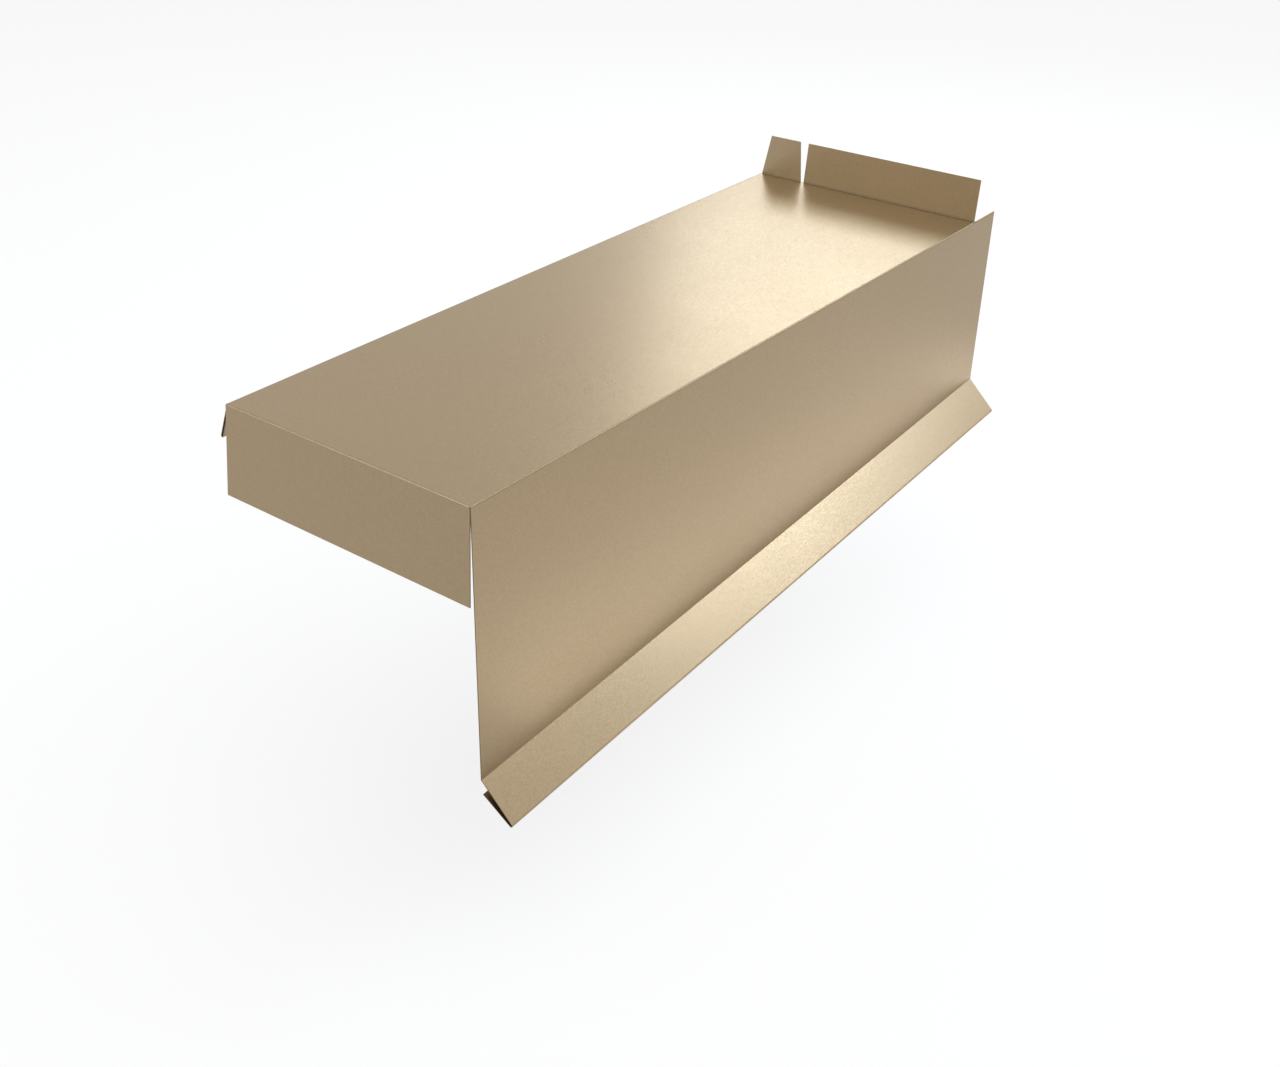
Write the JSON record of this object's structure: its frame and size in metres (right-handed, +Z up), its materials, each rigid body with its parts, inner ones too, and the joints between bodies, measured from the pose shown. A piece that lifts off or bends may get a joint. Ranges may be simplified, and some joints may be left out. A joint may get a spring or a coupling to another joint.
{
  "type": "verge flashing",
  "caption": "Folded metal roof-verge flashing: flat cap, tapered side with kicked-out hemmed drip, lean outer flange, front flap and notched rear upstand.",
  "frame": {"origin": "middle of the cap's underside, the face that lies on the verge", "axes": "+X from the lean flange to the tapered side, +Y along the verge from the front flap to the rear upstand, +Z up through the cap"},
  "size_m": [0.1751, 0.465, 0.1833],
  "materials": {
    "coated_sheet": "satin champagne metallic coat on steel sheet, with a fine grain"
  },
  "bodies": {
    "root": {"verge_flashing": "coated_sheet"}
  },
  "joints": []
}
